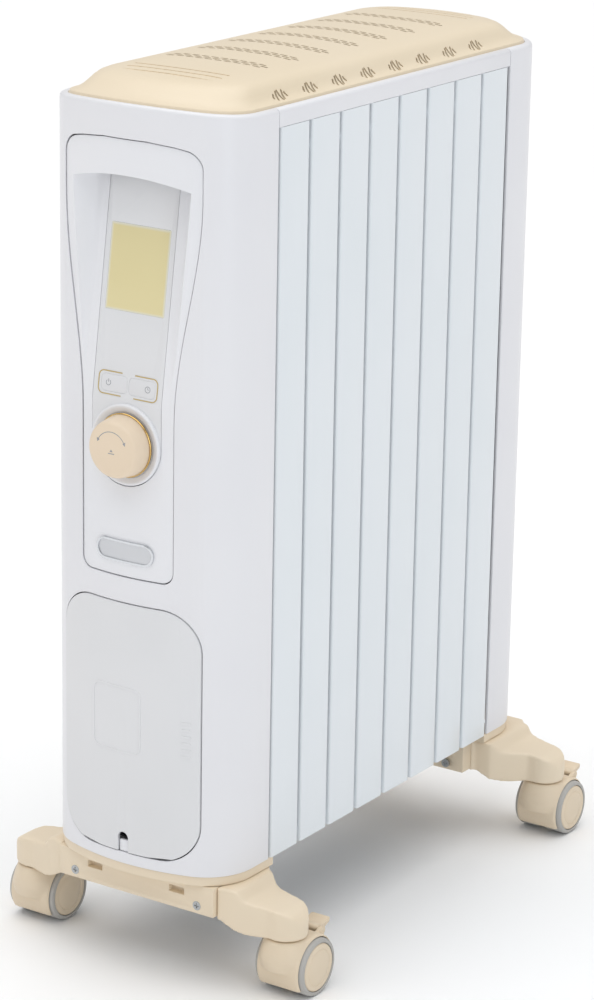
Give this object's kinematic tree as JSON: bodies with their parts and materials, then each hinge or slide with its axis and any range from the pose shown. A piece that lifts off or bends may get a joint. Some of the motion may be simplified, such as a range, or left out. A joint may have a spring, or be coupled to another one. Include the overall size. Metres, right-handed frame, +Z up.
{
  "type": "oil filled radiator heater",
  "caption": "Upright oil filled radiator on braked swivel casters, with flat fins, a leaning control panel, rotary knob, slotted top cover and a cord door.",
  "frame": {"origin": "on the floor, below the middle of the heater's overall length and width", "axes": "+Z up, +X to the heater's right as seen from behind the origin looking along +Y, the control panel faces -Y, the fins stack along +Y"},
  "size_m": [0.266, 0.4682, 0.6567],
  "materials": {
    "housing_white": "smooth satin",
    "panel_white": "smooth satin",
    "fascia_grey": "smooth satin",
    "display_olive": "glossy, slightly see-through",
    "moulding_dark": "matte",
    "cover_cream": "smooth satin",
    "knob_cream": "satin",
    "gold_trim": "bright plated",
    "badge_chrome": "bright plated",
    "circuit_green": "matte",
    "door_grey": "smooth satin",
    "bare_steel": "brushed",
    "fin_enamel": "gloss enamel",
    "base_cream": "fine satin",
    "caster_cream": "fine satin",
    "wheel_cream": "fine satin"
  },
  "bodies": {
    "heater": {"front_housing": "housing_white", "rear_cover": "housing_white", "side_rail_left": "housing_white", "side_rail_right": "housing_white", "panel_surround": "panel_white", "knob_bezel": "panel_white", "cord_tray": "panel_white", "fascia": "fascia_grey", "display_window": "display_olive", "display_module": "moulding_dark", "thermal_cutout": "moulding_dark", "cable_gland": "moulding_dark", "top_cover": "cover_cream", "button_trim": "gold_trim", "badge_plate": "badge_chrome", "control_board": "circuit_green", "power_board": "circuit_green", "door_hinge_pins": "bare_steel", "base_screws": "bare_steel", "encoder_body": "bare_steel", "front_bulkhead": "bare_steel", "upper_header": "bare_steel", "lower_header": "bare_steel", "heating_element": "bare_steel", "oil_filler_plug": "bare_steel", "fin_1": "fin_enamel", "fin_2": "fin_enamel", "fin_3": "fin_enamel", "fin_4": "fin_enamel", "fin_5": "fin_enamel", "fin_6": "fin_enamel", "fin_7": "fin_enamel", "fin_8": "fin_enamel", "front_base": "base_cream", "rear_base": "base_cream", "front_crossbar": "base_cream", "rear_crossbar": "base_cream"},
    "power_key": {"power_button": "fascia_grey"},
    "timer_key": {"timer_button": "fascia_grey"},
    "knob_push": {"encoder_shaft": "bare_steel"},
    "knob_turn": {"knob": "knob_cream", "knob_collar": "gold_trim"},
    "door": {"cord_door": "door_grey"},
    "caster_fl": {"caster_frame_fl": "caster_cream"},
    "wheels_fl": {"caster_wheels_fl": "wheel_cream"},
    "brake_fl": {"brake_lever_fl": "caster_cream"},
    "caster_fr": {"caster_frame_fr": "caster_cream"},
    "wheels_fr": {"caster_wheels_fr": "wheel_cream"},
    "brake_fr": {"brake_lever_fr": "caster_cream"},
    "caster_rl": {"caster_frame_rl": "caster_cream"},
    "wheels_rl": {"caster_wheels_rl": "wheel_cream"},
    "brake_rl": {"brake_lever_rl": "caster_cream"},
    "caster_rr": {"caster_frame_rr": "caster_cream"},
    "wheels_rr": {"caster_wheels_rr": "wheel_cream"},
    "brake_rr": {"brake_lever_rr": "caster_cream"}
  },
  "joints": [
    {"name": "power_key_press", "type": "slide", "parent": "heater", "child": "power_key", "axis": [0, 0.9903, -0.1392], "range_m": [0, 0.0006], "stiffness_N_per_m": 400},
    {"name": "timer_key_press", "type": "slide", "parent": "heater", "child": "timer_key", "axis": [0, 0.9903, -0.1392], "range_m": [0, 0.0006], "stiffness_N_per_m": 400},
    {"name": "knob_press", "type": "slide", "parent": "heater", "child": "knob_push", "axis": [0, 1, 0], "range_m": [0, 0.0008], "stiffness_N_per_m": 1200},
    {"name": "knob_spin", "type": "hinge", "parent": "knob_push", "child": "knob_turn", "pos_m": [0, -0.22, 0.4], "axis": [0, -1, 0], "continuous": true},
    {"name": "door_swing", "type": "hinge", "parent": "heater", "child": "door", "pos_m": [0, -0.21441, 0.0925], "axis": [1, 0, 0], "range_deg": [0, 95]},
    {"name": "swivel_fl", "type": "hinge", "parent": "heater", "child": "caster_fl", "pos_m": [-0.112, -0.17561, 0.05], "axis": [0, 0, 1], "continuous": true},
    {"name": "roll_fl", "type": "hinge", "parent": "caster_fl", "child": "wheels_fl", "pos_m": [-0.112, -0.16361, 0.0215], "axis": [1, 0, 0], "continuous": true},
    {"name": "brake_fl", "type": "hinge", "parent": "caster_fl", "child": "brake_fl", "pos_m": [-0.112, -0.14619, 0.04226], "axis": [-1, 0, 0], "range_deg": [0, 15]},
    {"name": "swivel_fr", "type": "hinge", "parent": "heater", "child": "caster_fr", "pos_m": [0.112, -0.17561, 0.05], "axis": [0, 0, 1], "continuous": true},
    {"name": "roll_fr", "type": "hinge", "parent": "caster_fr", "child": "wheels_fr", "pos_m": [0.112, -0.16361, 0.0215], "axis": [1, 0, 0], "continuous": true},
    {"name": "brake_fr", "type": "hinge", "parent": "caster_fr", "child": "brake_fr", "pos_m": [0.112, -0.14619, 0.04226], "axis": [-1, 0, 0], "range_deg": [0, 15]},
    {"name": "swivel_rl", "type": "hinge", "parent": "heater", "child": "caster_rl", "pos_m": [-0.112, 0.19219, 0.05], "axis": [0, 0, 1], "continuous": true},
    {"name": "roll_rl", "type": "hinge", "parent": "caster_rl", "child": "wheels_rl", "pos_m": [-0.112, 0.20419, 0.0215], "axis": [1, 0, 0], "continuous": true},
    {"name": "brake_rl", "type": "hinge", "parent": "caster_rl", "child": "brake_rl", "pos_m": [-0.112, 0.22161, 0.04226], "axis": [-1, 0, 0], "range_deg": [0, 15]},
    {"name": "swivel_rr", "type": "hinge", "parent": "heater", "child": "caster_rr", "pos_m": [0.112, 0.19219, 0.05], "axis": [0, 0, 1], "continuous": true},
    {"name": "roll_rr", "type": "hinge", "parent": "caster_rr", "child": "wheels_rr", "pos_m": [0.112, 0.20419, 0.0215], "axis": [1, 0, 0], "continuous": true},
    {"name": "brake_rr", "type": "hinge", "parent": "caster_rr", "child": "brake_rr", "pos_m": [0.112, 0.22161, 0.04226], "axis": [-1, 0, 0], "range_deg": [0, 15]}
  ]
}
